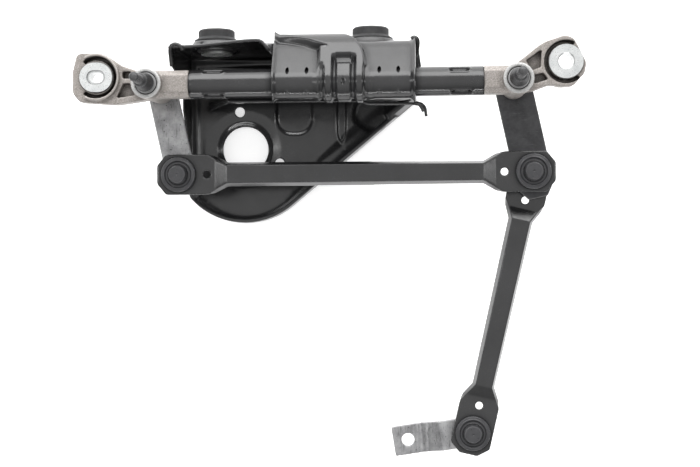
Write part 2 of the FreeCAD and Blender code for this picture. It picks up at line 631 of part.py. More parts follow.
def crank_ball_stud():
    x, y = LOWER_BALL
    top = CRANK_HIGH_Z + CRANK_T
    shank = cyl(SHANK_R, x, y, CRANK_HIGH_Z - 0.5, REAR_BALL_Z)
    collar = cyl(6.2, x, y, top + 0.02, top + 1.0)
    head = Part.makeCone(5.4, 6.2, 1.2, Vector(x, y, CRANK_HIGH_Z - 1.22), Z_AXIS)
    return fuse([shank, collar, head, ball(x, y, REAR_BALL_Z)])


save(motor_plate(), "motor_plate")
save(tube_cradle(), "tube_cradle")
save(tube_saddle(), "tube_saddle")
save(cross_tube(), "cross_tube")
save(left_housing(), "left_housing")
save(right_housing(), "right_housing")
save(left_ear_sleeve(), "left_ear_sleeve")
save(right_ear_sleeve(), "right_ear_sleeve")

front_bush_z = BOSS_FRONT_Z - 8.0 - BUSH_L
for side, x, half, beyond, facet in (("left", LEFT_X, 13.3, 15.0, 6.0), ("right", RIGHT_X, 16.5, 23.5, 8.0)):
    save(bush(x, front_bush_z), side + "_front_bush")
    save(bush(x, BOSS_REAR_Z), side + "_rear_bush")
    save(spindle_seal(x), side + "_spindle_seal")
    save(spindle(x), side + "_spindle")
    save(washer(x, 11.0, ARM_Z + ARM_T + 0.02, BOSS_REAR_Z - 0.3), side + "_thrust_washer")
    save(washer(x, 8.9, BOSS_FRONT_Z - 1.6, BOSS_FRONT_Z - 0.4), side + "_retaining_ring")
    save(crank_arm(x, half, beyond, facet), side + "_crank_arm")
save(left_ball_stud(), "left_ball_stud")
save(right_ball_stud(), "right_double_ball_stud")

for side, x in zip(("left", "right"), MOUNT_X):
    save(rubber_mount(x), side + "_rubber_mount")
    save(mount_sleeve(x), side + "_mount_sleeve")

ball_y = SPINDLE_Y + ARM_DY
left_ball_x = LEFT_X + ARM_DX
right_ball_x = RIGHT_X + ARM_DX
save(place(pressed_link(RIGHT_X - LEFT_X), left_ball_x, ball_y, FRONT_BALL_Z, 0.0), "connecting_rod")
save(socket(left_ball_x, ball_y, FRONT_BALL_Z, 1, SOCKET_GAP), "connecting_rod_left_socket")
save(socket(right_ball_x, ball_y, FRONT_BALL_Z, 1, OPEN_PIVOT_GAP), "connecting_rod_right_socket")

run_x = LOWER_BALL[0] - right_ball_x
run_y = LOWER_BALL[1] - ball_y
drive_angle = math.degrees(math.atan2(run_y, run_x))
save(place(pressed_link(math.hypot(run_x, run_y)), right_ball_x, ball_y, REAR_BALL_Z, drive_angle),
     "drive_rod")
save(socket(right_ball_x, ball_y, REAR_BALL_Z, -1, SOCKET_GAP), "drive_rod_upper_socket")
save(socket(LOWER_BALL[0], LOWER_BALL[1], REAR_BALL_Z, 1, SOCKET_GAP), "drive_rod_lower_socket")

save(motor_crank(), "motor_crank")
save(crank_ball_stud(), "crank_ball_stud")
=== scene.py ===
import json
import math
import bpy
import bmesh
from mathutils import Matrix, Vector


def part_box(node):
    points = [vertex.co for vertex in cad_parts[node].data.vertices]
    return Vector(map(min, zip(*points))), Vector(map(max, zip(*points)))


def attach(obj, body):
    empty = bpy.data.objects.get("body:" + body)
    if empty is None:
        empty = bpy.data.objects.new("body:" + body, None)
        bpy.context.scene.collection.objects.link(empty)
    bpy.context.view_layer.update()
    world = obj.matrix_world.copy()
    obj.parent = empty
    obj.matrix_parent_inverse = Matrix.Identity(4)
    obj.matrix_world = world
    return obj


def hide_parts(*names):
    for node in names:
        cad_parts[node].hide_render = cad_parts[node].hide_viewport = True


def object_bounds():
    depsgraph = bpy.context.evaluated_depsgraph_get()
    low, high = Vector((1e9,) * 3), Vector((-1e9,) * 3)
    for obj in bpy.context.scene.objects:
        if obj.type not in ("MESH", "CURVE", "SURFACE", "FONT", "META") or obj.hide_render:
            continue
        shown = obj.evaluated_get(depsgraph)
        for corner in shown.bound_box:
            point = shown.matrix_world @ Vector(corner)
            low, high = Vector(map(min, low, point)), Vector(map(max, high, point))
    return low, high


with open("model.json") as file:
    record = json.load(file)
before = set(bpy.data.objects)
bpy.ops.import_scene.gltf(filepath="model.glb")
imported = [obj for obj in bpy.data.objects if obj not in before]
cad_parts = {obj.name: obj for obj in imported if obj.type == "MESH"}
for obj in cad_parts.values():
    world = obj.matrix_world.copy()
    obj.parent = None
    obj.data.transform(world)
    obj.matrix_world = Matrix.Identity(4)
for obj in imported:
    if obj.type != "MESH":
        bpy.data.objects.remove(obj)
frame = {"nodes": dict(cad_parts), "record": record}
cad_low, cad_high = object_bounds()

NODES = frame["nodes"]
MM = 0.001

# Camera: above the part as it lies on its back, leaning a few degrees; places in metres
CAMERA_AT = Vector((0.1669, -0.0773, 1.161))
CAMERA_RIGHT = Vector((0.99819, -0.00698, -0.05970))
CAMERA_UP = Vector((0.00687, 0.99997, -0.00199))
LENS = 64.5

# Places of the frame that several pieces share, in mm
TUBE_Y = 50.0
TUBE_Z = 91.0
TUBE_R = 12.5
BOSS_FRONT_Z = 109.0


# ---------------------------------------------------------------- materials

class Shader:
    """A Principled material with a few short ways to add nodes to it."""

    def __init__(self, name, color, metallic, roughness):
        self.material = bpy.data.materials.new(name)
        self.material.use_nodes = True
        self.tree = self.material.node_tree
        self.bsdf = self.tree.nodes["Principled BSDF"]
        self.bsdf.inputs["Base Color"].default_value = (*color, 1.0)
        self.bsdf.inputs["Metallic"].default_value = metallic
        self.bsdf.inputs["Roughness"].default_value = roughness
        self.place = self.tree.nodes.new("ShaderNodeTexCoord").outputs["Object"]
        self.normal = None

    def link(self, output, target):
        self.tree.links.new(output, target)

    def noise(self, scale, detail=4.0, rough=0.5, stretch=(1.0, 1.0, 1.0)):
        """Noise over the part's own coordinates in metres, so a scale of 1000 is grain of about 1 mm."""
        mapping = self.tree.nodes.new("ShaderNodeMapping")
        mapping.inputs["Scale"].default_value = stretch
        self.link(self.place, mapping.inputs["Vector"])
        node = self.tree.nodes.new("ShaderNodeTexNoise")
        node.inputs["Scale"].default_value = scale
        node.inputs["Detail"].default_value = detail
        node.inputs["Roughness"].default_value = rough
        self.link(mapping.outputs["Vector"], node.inputs["Vector"])
        return node.outputs["Fac"]

    def remap(self, value, low, high, to_low, to_high):
        node = self.tree.nodes.new("ShaderNodeMapRange")
        node.inputs["From Min"].default_value = low
        node.inputs["From Max"].default_value = high
        node.inputs["To Min"].default_value = to_low
        node.inputs["To Max"].default_value = to_high
        self.link(value, node.inputs["Value"])
        return node.outputs["Result"]

    def mix(self, factor, a, b):
        """Colour a where the factor is 0 and b where it is 1; each is a tuple or a node's output."""
        node = self.tree.nodes.new("ShaderNodeMix")
        node.data_type = "RGBA"
        self.link(factor, node.inputs["Factor"])
        for value, slot in ((a, node.inputs["A"]), (b, node.inputs["B"])):
            if isinstance(value, tuple):
                slot.default_value = (*value, 1.0)
            else:
                self.link(value, slot)
        return node.outputs["Result"]

    def edges(self, low, high):
        """0 on flat ground and 1 on sharp outer edges."""
        geometry = self.tree.nodes.new("ShaderNodeNewGeometry")
        return self.remap(geometry.outputs["Pointiness"], low, high, 0.0, 1.0)

    def above(self, height):
        """1 where the part's own z, in mm, is above a height."""
        split = self.tree.nodes.new("ShaderNodeSeparateXYZ")
        self.link(self.place, split.inputs["Vector"])
        return self.remap(split.outputs["Z"], height * MM, (height + 0.3) * MM, 0.0, 1.0)

    def hollows(self, distance):
        """1 in the open and towards 0 in corners and recesses."""
        node = self.tree.nodes.new("ShaderNodeAmbientOcclusion")
        node.samples = 4
        node.inputs["Distance"].default_value = distance
        return node.outputs["AO"]

    def bump(self, height, strength, distance):
        """Adds to the bumps already there."""
        node = self.tree.nodes.new("ShaderNodeBump")
        node.inputs["Strength"].default_value = strength
        node.inputs["Distance"].default_value = distance
        self.link(height, node.inputs["Height"])
        if self.normal is not None:
            self.link(self.normal, node.inputs["Normal"])
        self.normal = node.outputs["Normal"]
        self.link(self.normal, self.bsdf.inputs["Normal"])

    def color(self, output):
        self.link(output, self.bsdf.inputs["Base Color"])

    def roughness(self, output):
        self.link(output, self.bsdf.inputs["Roughness"])


def e_coat():
    """Black dipped paint on sheet steel, glossy in the open, with painted shade in recesses where ambient
    occlusion turns its specular level down.
    """
    s = Shader("e_coat", (0.014, 0.014, 0.015), 0.0, 0.3)
    s.bsdf.inputs["Specular IOR Level"].default_value = 0.62     # the link below overrides this in a render
    cloud = s.remap(s.noise(38.0, 5.0, 0.6), 0.3, 0.7, 0.0, 1.0)
    base = s.mix(cloud, (0.010, 0.010, 0.0105), (0.019, 0.019, 0.020))
    dust = s.remap(s.noise(900.0, 3.0, 0.6), 0.62, 0.8, 0.0, 0.4)
    base = s.mix(dust, base, (0.05, 0.05, 0.052))
    worn = s.edges(0.54, 0.62)
    s.color(s.mix(worn, base, (0.09, 0.09, 0.092)))
    s.roughness(s.remap(s.noise(110.0, 6.0, 0.65), 0.3, 0.7, 0.15, 0.27))
    # painted shade: ambient occlusion turns the specular level down in channels, holes and under the tube
    s.link(s.remap(s.hollows(0.007), 0.55, 0.98, 0.03, 0.66), s.bsdf.inputs["Specular IOR Level"])
    s.bump(s.noise(34.0, 2.0, 0.4), 0.10, 0.002)
    s.bump(s.noise(900.0, 2.0, 0.5), 0.03, 0.0001)
    return s.material


def cast_aluminium():
    """Sand-grained casting, with the fronts of its bosses turned bright."""
    s = Shader("cast_aluminium", (0.25, 0.225, 0.205), 0.4, 0.5)
    cloud = s.remap(s.noise(60.0, 6.0, 0.65), 0.3, 0.7, 0.0, 1.0)
    base = s.mix(cloud, (0.185, 0.165, 0.150), (0.270, 0.247, 0.228))
    grain = s.remap(s.noise(1100.0, 3.0, 0.7), 0.40, 0.62, 0.0, 1.0)
    base = s.mix(grain, base, (0.36, 0.335, 0.315))
    speck = s.remap(s.noise(800.0, 2.0, 0.6), 0.60, 0.70, 0.0, 0.55)
    base = s.mix(speck, base, (0.10, 0.086, 0.076))
    # painted shade: dark brown in corners and recesses, found by ambient occlusion
    painted_shade = s.remap(s.hollows(0.006), 0.35, 0.9, 0.0, 1.0)
    base = s.mix(painted_shade, (0.045, 0.038, 0.033), base)
    worn = s.edges(0.53, 0.60)
    base = s.mix(worn, base, (0.50, 0.48, 0.46))
    turned = s.mix(grain, (0.36, 0.36, 0.355), (0.52, 0.52, 0.51))
    s.color(s.mix(s.above(BOSS_FRONT_Z - 0.9), base, turned))
    s.roughness(s.remap(s.noise(700.0, 4.0, 0.6), 0.3, 0.7, 0.38, 0.58))
    s.bump(s.noise(1000.0, 4.0, 0.7), 0.40, 0.0005)
    s.bump(s.noise(170.0, 3.0, 0.5), 0.15, 0.001)
    return s.material


def zinc_steel():
    s = Shader("zinc_steel", (0.78, 0.78, 0.77), 0.75, 0.3)
    cloud = s.remap(s.noise(120.0, 5.0, 0.6), 0.3, 0.7, 0.0, 1.0)
    base = s.mix(cloud, (0.50, 0.515, 0.515), (0.66, 0.67, 0.665))
    fleck = s.remap(s.noise(900.0, 3.0, 0.6), 0.58, 0.70, 0.0, 0.7)
    base = s.mix(fleck, base, (0.36, 0.37, 0.37))
    # painted shade: dark grey in corners and recesses, found by ambient occlusion
    painted_shade = s.remap(s.hollows(0.004), 0.4, 0.9, 0.0, 1.0)
    s.color(s.mix(painted_shade, (0.10, 0.10, 0.10), base))
    s.roughness(s.remap(s.noise(900.0, 4.0, 0.6), 0.3, 0.7, 0.24, 0.40))
    s.bump(s.noise(1800.0, 3.0, 0.6), 0.08, 0.0003)
    return s.material


def raw_steel():
    """Bare rolled steel with streaks and pits."""
    s = Shader("raw_steel", (0.24, 0.24, 0.245), 0.6, 0.42)
    cloud = s.remap(s.noise(70.0, 6.0, 0.7), 0.35, 0.68, 0.0, 1.0)
    base = s.mix(cloud, (0.22, 0.22, 0.225), (0.42, 0.42, 0.425))
    streak = s.remap(s.noise(150.0, 5.0, 0.6, (4.0, 0.6, 1.0)), 0.56, 0.72, 0.0, 0.8)
    base = s.mix(streak, base, (0.07, 0.07, 0.072))
    pits = s.remap(s.noise(600.0, 2.0, 0.5), 0.66, 0.72, 0.0, 0.8)
    base = s.mix(pits, base, (0.04, 0.04, 0.04))
    s.color(s.mix(s.edges(0.52, 0.58), base, (0.42, 0.42, 0.42)))
    s.roughness(s.remap(s.noise(240.0, 5.0, 0.6), 0.3, 0.7, 0.34, 0.52))
    s.bump(s.noise(900.0, 4.0, 0.6), 0.12, 0.0004)
    return s.material


def dark_steel():
    s = Shader("dark_steel", (0.05, 0.05, 0.053), 0.35, 0.45)
    cloud = s.remap(s.noise(80.0, 6.0, 0.7), 0.35, 0.68, 0.0, 1.0)
    base = s.mix(cloud, (0.028, 0.028, 0.030), (0.060, 0.060, 0.063))
    scratch = s.remap(s.noise(500.0, 4.0, 0.7, (0.25, 2.0, 1.0)), 0.60, 0.76, 0.0, 0.6)
    base = s.mix(scratch, base, (0.13, 0.13, 0.135))
    s.color(s.mix(s.edges(0.52, 0.58), base, (0.20, 0.20, 0.20)))
    s.roughness(s.remap(s.noise(260.0, 5.0, 0.6), 0.3, 0.7, 0.38, 0.56))
    s.bump(s.noise(1000.0, 4.0, 0.6), 0.12, 0.0004)
    return s.material


def phosphate():
    s = Shader("phosphate_steel", (0.045, 0.045, 0.047), 0.3, 0.42)
    grain = s.remap(s.noise(1600.0, 4.0, 0.7), 0.35, 0.65, 0.0, 1.0)
    base = s.mix(grain, (0.012, 0.012, 0.013), (0.055, 0.055, 0.057))
    # painted shade: near black in the knurl's grooves and other recesses, found by ambient occlusion
    base = s.mix(s.remap(s.hollows(0.003), 0.45, 0.95, 0.0, 1.0), (0.006, 0.006, 0.006), base)
    s.color(s.mix(s.edges(0.53, 0.62), base, (0.32, 0.32, 0.32)))
    s.roughness(s.remap(s.noise(400.0, 4.0, 0.6), 0.3, 0.7, 0.30, 0.50))
    s.bump(s.noise(2000.0, 3.0, 0.6), 0.15, 0.0003)
    return s.material


def socket_plastic():
    s = Shader("socket_plastic", (0.035, 0.035, 0.038), 0.0, 0.42)
    cloud = s.remap(s.noise(200.0, 4.0, 0.6), 0.3, 0.7, 0.0, 1.0)
    base = s.mix(cloud, (0.028, 0.028, 0.031), (0.044, 0.044, 0.047))
    # painted shade: near black in the groove round the disc and other recesses, found by ambient occlusion
    base = s.mix(s.remap(s.hollows(0.004), 0.45, 0.95, 0.0, 1.0), (0.006, 0.006, 0.007), base)
    s.color(s.mix(s.edges(0.53, 0.60), base, (0.16, 0.16, 0.165)))
    s.roughness(s.remap(s.noise(500.0, 3.0, 0.6), 0.3, 0.7, 0.26, 0.42))
    s.bump(s.noise(1700.0, 2.0, 0.5), 0.10, 0.0003)
    return s.material


def rubber():
    s = Shader("rubber", (0.04, 0.04, 0.042), 0.0, 0.68)
    bloom = s.remap(s.noise(90.0, 6.0, 0.7), 0.35, 0.7, 0.0, 1.0)
    s.color(s.mix(bloom, (0.012, 0.012, 0.013), (0.026, 0.026, 0.027)))
    s.roughness(s.remap(s.noise(300.0, 4.0, 0.6), 0.3, 0.7, 0.58, 0.78))
    s.bump(s.noise(1400.0, 3.0, 0.6), 0.2, 0.0004)
    return s.material


def bronze():
    s = Shader("sintered_bronze", (0.40, 0.26, 0.13), 0.8, 0.5)
    pores = s.remap(s.noise(2500.0, 3.0, 0.7), 0.4, 0.6, 0.0, 1.0)
    s.color(s.mix(pores, (0.22, 0.14, 0.07), (0.46, 0.31, 0.17)))
    s.roughness(s.remap(s.noise(900.0, 3.0, 0.6), 0.3, 0.7, 0.4, 0.6))
    s.bump(s.noise(2500.0, 3.0, 0.7), 0.2, 0.0003)
    return s.material


def floor_paint():
    """A floor that glows a little, so that it stays near white under soft light."""
    s = Shader("studio_floor", (0.9, 0.9, 0.9), 0.0, 0.9)
    s.color(s.mix(s.noise(8.0, 2.0, 0.5), (0.84, 0.84, 0.84), (0.86, 0.86, 0.86)))
    s.bsdf.inputs["Emission Color"].default_value = (1.0, 1.0, 1.0, 1.0)
    s.bsdf.inputs["Emission Strength"].default_value = 0.6
    return s.material


FINISHES = {
    "e_coat": e_coat(),
    "cast_aluminium": cast_aluminium(),
    "zinc_steel": zinc_steel(),
    "raw_steel": raw_steel(),
    "phosphate_steel": phosphate(),
    "socket_plastic": socket_plastic(),
    "rubber": rubber(),
    "sintered_bronze": bronze(),
    "dark_steel": dark_steel(),
}
SLOTS = {row["node"]: row["material_slot"] for row in frame["record"]["subparts"]}
BODIES = {}
for body, nodes in frame["record"]["behaviour"]["bodies"].items():
    for node in nodes:
        BODIES[node] = body


def paint(piece, finish):
    piece.data.materials.clear()
    piece.data.materials.append(FINISHES[finish])


for node, piece in NODES.items():
    paint(piece, SLOTS[node])


# ---------------------------------------------------------------- shared shapes

def add_piece(name, mesh, node, finish=None):
    """A new piece that stands for one CAD node and rides on its body."""
    piece = bpy.data.objects.new(name, mesh)
    bpy.context.scene.collection.objects.link(piece)
    paint(piece, finish or SLOTS[node])
    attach(piece, BODIES[node])
    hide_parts(node)


def applied(mesh_object):
    """The object's mesh with its modifiers applied; the object itself is removed."""
    graph = bpy.context.evaluated_depsgraph_get()
    mesh = bpy.data.meshes.new_from_object(mesh_object.evaluated_get(graph), depsgraph=graph)
    bpy.data.objects.remove(mesh_object)
    return mesh


def smoothstep(low, high, value):
    """0 up to low, 1 past high and a soft step between them."""
    t = min(max((value - low) / (high - low), 0.0), 1.0)
    return t * t * (3.0 - 2.0 * t)


def lerp(a, b, t):
    return a + (b - a) * t


def softened(mesh, voxel, rounds):
    """The mesh rebuilt at an even voxel size in mm, with its edges rounded by smoothing."""
    rough = bpy.data.objects.new("rough", mesh)
    bpy.context.scene.collection.objects.link(rough)
    remesh = rough.modifiers.new("remesh", "REMESH")
    remesh.mode = "VOXEL"
    remesh.voxel_size = voxel * MM
    smooth = rough.modifiers.new("smooth", "SMOOTH")
    smooth.iterations = rounds
    smooth.factor = 0.5
    result = applied(rough)
    for polygon in result.polygons:
        polygon.use_smooth = True
    return result


def soften_node(node, voxel, rounds, finish=None):
    """The CAD node's own shape with its edges rounded."""
    add_piece(node + "_finished", softened(NODES[node].data.copy(), voxel, rounds), node, finish)


def grid_mesh(name, rows, closed=False, caps=False):
    """A mesh of quads through rows of points in mm; closed rows join end to end."""
    mesh = bpy.data.meshes.new(name)
    width = len(rows[0])
    points = [Vector(point) * MM for row in rows for point in row]
    faces = []
    for i in range(len(rows) - 1):
        for j in range(width if closed else width - 1):
            k = (j + 1) % width
            faces.append((i * width + j, i * width + k, (i + 1) * width + k, (i + 1) * width + j))
    if caps:
        faces.append(tuple(reversed(range(width))))
        faces.append(tuple(range((len(rows) - 1) * width, len(rows) * width)))
    mesh.from_pydata(points, [], faces)
    for polygon in mesh.polygons:
        polygon.use_smooth = True
    return mesh


SHEET_EDGE = 0.35     # mm broken off each edge of a sheet


def thickened(mesh, thickness):
    """A sheet of a thickness in mm, grown to the side its faces look to, with slightly broken edges."""
    sheet = bpy.data.objects.new("sheet", mesh)
    bpy.context.scene.collection.objects.link(sheet)
    solid = sheet.modifiers.new("solid", "SOLIDIFY")
    solid.thickness = thickness * MM
    solid.offset = 1.0
    solid.use_even_offset = False
    bevel = sheet.modifiers.new("bevel", "BEVEL")
    bevel.width = SHEET_EDGE * MM
    bevel.segments = 2
    bevel.limit_method = "ANGLE"
    bevel.angle_limit = math.radians(50.0)
    return applied(sheet)


def cut_with(mesh, cutter):
    """The mesh less the cutter, which is removed."""
    target = bpy.data.objects.new("target", mesh)
    bpy.context.scene.collection.objects.link(target)
    cut = target.modifiers.new("cut", "BOOLEAN")
    cut.object = cutter
    cut.operation = "DIFFERENCE"
    cut.solver = "EXACT"
    result = applied(target)
    bpy.data.objects.remove(cutter)
    return result


RIBBON_SIDES = 12


def ribbon(path, half_width, half_height):
    """A flat rounded strip swept along a path in mm; its width lies across the path, in the xy plane."""
    rows = []
    for i, point in enumerate(path):
        here = Vector(point)
        along = (Vector(path[min(i + 1, len(path) - 1)]) - Vector(path[max(i - 1, 0)])).normalized()
        side = along.cross(Vector((0.0, 0.0, 1.0)))
        side = side.normalized() if side.length > 0.05 else Vector((1.0, 0.0, 0.0))
        up = side.cross(along)
        row = []
        for j in range(RIBBON_SIDES):
            angle = 2.0 * math.pi * j / RIBBON_SIDES
            row.append(here + side * half_width * math.cos(angle) + up * half_height * math.sin(angle))
        rows.append(row)
    return grid_mesh("ribbon", rows, closed=True, caps=True)


PATH_STEPS = 6


def smooth_path(points):
    """Catmull-Rom curve through points."""
    path = []
    for i in range(len(points) - 1):
        p0 = Vector(points[max(i - 1, 0)])
        p1 = Vector(points[i])
        p2 = Vector(points[i + 1])
        p3 = Vector(points[min(i + 2, len(points) - 1)])
        for k in range(PATH_STEPS):
            t = k / PATH_STEPS
            path.append(0.5 * (2 * p1 + (p2 - p0) * t + (2 * p0 - 5 * p1 + 4 * p2 - p3) * t * t
                               + (3 * p1 - p0 - 3 * p2 + p3) * t ** 3))
    path.append(Vector(points[-1]))
    return path


def joined(name, meshes):
    """One mesh that holds several."""
    whole = bmesh.new()
    for mesh in meshes:
        whole.from_mesh(mesh)
    result = bpy.data.meshes.new(name)
    whole.to_mesh(result)
    whole.free()
    for polygon in result.polygons:
        polygon.use_smooth = True
    return result


# ---------------------------------------------------------------- castings, rods and arms

soften_node("left_housing", 0.7, 4)
soften_node("right_housing", 0.7, 4)
for rod in ("connecting_rod", "drive_rod"):
    soften_node(rod, 0.75, 5)
soften_node("left_crank_arm", 0.7, 2)
soften_node("right_crank_arm", 0.7, 2, "dark_steel")


# ---------------------------------------------------------------- ball sockets and the motor's crank

SOCKET_GROOVE = 3.0     # mm deep, between 7.2 and 11.3 mm from the middle
SOCKET_GATE = 0.5       # mm deep, the mark of the mould in the middle of the disc


def ball_socket(node):
    """A moulded socket with a deep groove round the disc over its ball."""
    mesh = softened(NODES[node].data.copy(), 0.35, 3)
    low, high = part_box(node)
    centre = (low + high) / 2.0
    for vertex in mesh.vertices:
        away = math.hypot(vertex.co.x - centre.x, vertex.co.y - centre.y) / MM
        upper = smoothstep(6.0, 3.0, (high.z - vertex.co.z) / MM)
        ring = smoothstep(7.2, 8.0, away) * (1.0 - smoothstep(10.4, 11.3, away))
        gate = 1.0 - smoothstep(0.4, 1.1, away)
        vertex.co.z -= (SOCKET_GROOVE * ring + SOCKET_GATE * gate) * upper * MM
    add_piece(node + "_finished", mesh, node)


for socket in ("connecting_rod_left_socket", "connecting_rod_right_socket", "drive_rod_upper_socket",
               "drive_rod_lower_socket"):
    ball_socket(socket)


CRANK_RIPPLE = 0.55         # mm high
CRANK_RIPPLE_TURN = 0.85    # radians per mm along the lever


def motor_crank():
    """The cranked lever with the ripples that its bending left across the step."""
    mesh = softened(NODES["motor_crank"].data.copy(), 0.6, 3)
    low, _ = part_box("motor_crank")
    for vertex in mesh.vertices:
        along = (vertex.co.x - low.x) / MM
        across_step = smoothstep(13.0, 17.0, along) * (1.0 - smoothstep(33.0, 37.0, along))
        ripple = CRANK_RIPPLE * math.sin(along * CRANK_RIPPLE_TURN) * across_step
        vertex.co.z += ripple * MM
    add_piece("motor_crank_finished", mesh, "motor_crank")


motor_crank()


# ---------------------------------------------------------------- tube saddle

# All in mm
WRAP_R = 14.5                 # outside of the sheet round the tube
SADDLE_SHEET = 2.0
LEAN = math.radians(35.0)     # the angle round the tube at which the sheet leaves it
SADDLE_TOP_Y = 87.5
SADDLE_RIGHT_X = 159.5
SADDLE_LEFT_X = 38.0
SADDLE_STEP = 0.85            # between points along the section
SADDLE_COLUMNS = 150
BACK_Z = 74.0
KNEE_Z = 84.0
KNEE_REACH = 9.0              # how far the knee's bend runs to each side
HEM_Z = 89.2
SLIT_X = (51.0, 67.6, 129.2, 145.3)
SLIT_Y = 59.4
SLIT_R = 1.5
DIMPLE_Y = 41.3
TONGUE_DIMPLE = (98.7, 49.5)
DOME_LEFT_X = 75.0
DOME_FLANK = 4.6              # width of the dome's left flank
DOME_TURN_Y = 77.8            # where that flank turns


def saddle_section():
    """Points (y, z) of the saddle's outer skin from its back edge, over the tube, to its hem."""
    leave = (TUBE_Y + WRAP_R * math.sin(LEAN), TUBE_Z + WRAP_R * math.cos(LEAN))
    slope = Vector((leave[0] - SADDLE_TOP_Y, leave[1] - KNEE_Z))
    run = slope.length
    slope.normalize()
    knee = Vector((SADDLE_TOP_Y, KNEE_Z))
    points = [Vector((SADDLE_TOP_Y, BACK_Z))]
    bend_in = knee - Vector((0.0, KNEE_REACH))
    bend_out = knee + slope * KNEE_REACH
    count = int(2 * KNEE_REACH / SADDLE_STEP)
    for i in range(count + 1):
        t = i / count
        points.append(bend_in * (1 - t) ** 2 + knee * 2 * t * (1 - t) + bend_out * t * t)
    count = int((run - KNEE_REACH) / SADDLE_STEP)
    points += [bend_out + slope * (run - KNEE_REACH) * i / count for i in range(1, count)]
    turn = LEAN + math.pi / 2.0
    count = int(WRAP_R * turn / SADDLE_STEP)
    for i in range(count + 1):
        angle = LEAN - turn * i / count
        points.append(Vector((TUBE_Y + WRAP_R * math.sin(angle), TUBE_Z + WRAP_R * math.cos(angle))))
    points.append(Vector((TUBE_Y - WRAP_R, HEM_Z)))
    return points


def groove(x, centre, half):
    """1 in the middle of a groove and 0 at half its width."""
    return max(0.0, math.cos(min(abs(x - centre) / half, 1.0) * math.pi / 2.0)) ** 1.3


def saddle_rise(x, y, z):
    """How far the pressed dome, ribs and channels stand out of the plain saddle."""
    # down the back edge, go on counting the way along the sheet as y
    y += 0.9 * max(0.0, KNEE_Z + 3.0 - z) * smoothstep(80.0, 86.0, y)
    # the dome's left flank is straight, then slants away to the left with a slope of 2.9
    if y < DOME_TURN_Y:
        left = (x - DOME_LEFT_X) / DOME_FLANK
    else:
        left = (x - DOME_LEFT_X + 2.9 * (y - DOME_TURN_Y)) / (3.07 * DOME_FLANK)
    right_edge = 121.5 - 0.1 * (y - 47.0) if y < 66.0 else 119.6 - 11.0 * ((y - 66.0) / 22.0) ** 2
    right = (right_edge - x) / 5.0
    dome = (2.9 + 4.0 * smoothstep(56.0, 82.0, y)) * smoothstep(0.0, 1.0, left) * smoothstep(0.0, 1.0, right)
    # two outer and two inner channels, and the sunk tongue between the inner ones
    outer = max(groove(x, 80.0, 3.6), groove(x, 118.2, 3.6)) * (1.0 - smoothstep(57.0, 66.0, y))
    inner = max(groove(x, 91.3, 3.2), groove(x, 106.8, 3.4)) * (1.0 - smoothstep(67.5, 71.5, y))
    on_tongue = smoothstep(91.2, 93.6, x) * (1.0 - smoothstep(104.4, 106.6, x))
    sunk = on_tongue * (1.0 - smoothstep(70.0, 71.8, y)) * lerp(0.25, 0.75, smoothstep(63.5, 65.5, y))
    # low ridges along the dome's two feet
    edge = 0.6 * (groove(x, 75.2, 2.4) + groove(x, 122.8, 2.4)) * (1.0 - smoothstep(52.0, 64.0, y))
    return dome * (1.0 - max(outer, inner, sunk)) + edge


def saddle_lip(x):
    """The flared ends of the saddle."""
    left = 2.3 * (1.0 - smoothstep(0.0, 5.5, x - SADDLE_LEFT_X)) ** 1.5
    right = 2.8 * (1.0 - smoothstep(0.0, 6.0, SADDLE_RIGHT_X - x)) ** 1.5
    return max(left, right)


def saddle_dimples(x, y):
    """Small lanced dimples below the slits and one on the tongue."""
    rise = 0.0
    for cx in SLIT_X:
        away = math.hypot(x - cx, (y - DIMPLE_Y) * 1.1)
        rise += 0.7 * (1.0 - smoothstep(0.6, 1.9, away))
    away = math.hypot(x - TONGUE_DIMPLE[0], (y - TONGUE_DIMPLE[1]) * 0.5)
    return rise - 1.4 * (1.0 - smoothstep(0.7, 1.6, away))


def slit_cutter():
    """Upright oblong pegs that cut the saddle's slits."""
    tool = bmesh.new()
    for x in SLIT_X:
        peg = bmesh.ops.create_cone(tool, cap_ends=True, segments=20, radius1=SLIT_R * MM,
                                    radius2=SLIT_R * MM, depth=10.0 * MM)
        for vertex in peg["verts"]:
            vertex.co.y *= 2.0
        bmesh.ops.translate(tool, verts=peg["verts"], vec=Vector((x, SLIT_Y, 103.0)) * MM)
    mesh = bpy.data.meshes.new("pegs")
    tool.to_mesh(mesh)
    tool.free()
    cutter = bpy.data.objects.new("pegs", mesh)
    bpy.context.scene.collection.objects.link(cutter)
    return cutter


def tube_saddle():
    """The sheet over the tube, with its dome, ribs, channels, slits and dimples."""
    skin = saddle_section()
    rows = []
    for i, (y, z) in enumerate(skin):
        along = skin[min(i + 1, len(skin) - 1)] - skin[max(i - 1, 0)]
        normal = Vector((along.y, -along.x)).normalized()
        row = []
        for j in range(SADDLE_COLUMNS + 1):
            x = lerp(SADDLE_LEFT_X, SADDLE_RIGHT_X, j / SADDLE_COLUMNS)
            rise = saddle_rise(x, y, z) + saddle_dimples(x, y) + saddle_lip(x)
            row.append((x, y + normal.x * rise, z + normal.y * rise))
        rows.append(row)
    mesh = cut_with(thickened(grid_mesh("saddle", rows), SADDLE_SHEET), slit_cutter())
    add_piece("tube_saddle_finished", mesh, "tube_saddle")


tube_saddle()


# ---------------------------------------------------------------- bracket

DISH_R = 69.0                       # the rim's round end, about the pilot hole
DIAGONAL = math.radians(-50.3)      # the way the rim's straight edge faces
ROOF_FROM = (78.0, 4.0)             # the roof lies past this y and above this z
PANEL_TO = (80.0, 4.0)              # the panel lies short of this y and below this z
SKIRT_TO = (30.0, 6.0)              # so does the skirt, with these
SKIRT_FOOT_Z = -13.4
SKIRT_REACH = 14.0


def roof_move(x, z):
    """The roof's front edge climbs to the right, then turns down to meet the saddle's lip."""
    front = smoothstep(60.0, 98.0, z)
    climb = lerp(-2.6, 2.0, smoothstep(-42.0, 26.0, x)) * front
    turn = 12.5 * smoothstep(25.0, 39.0, x) ** 1.4 * smoothstep(79.0, 96.0, z)
    return climb - turn


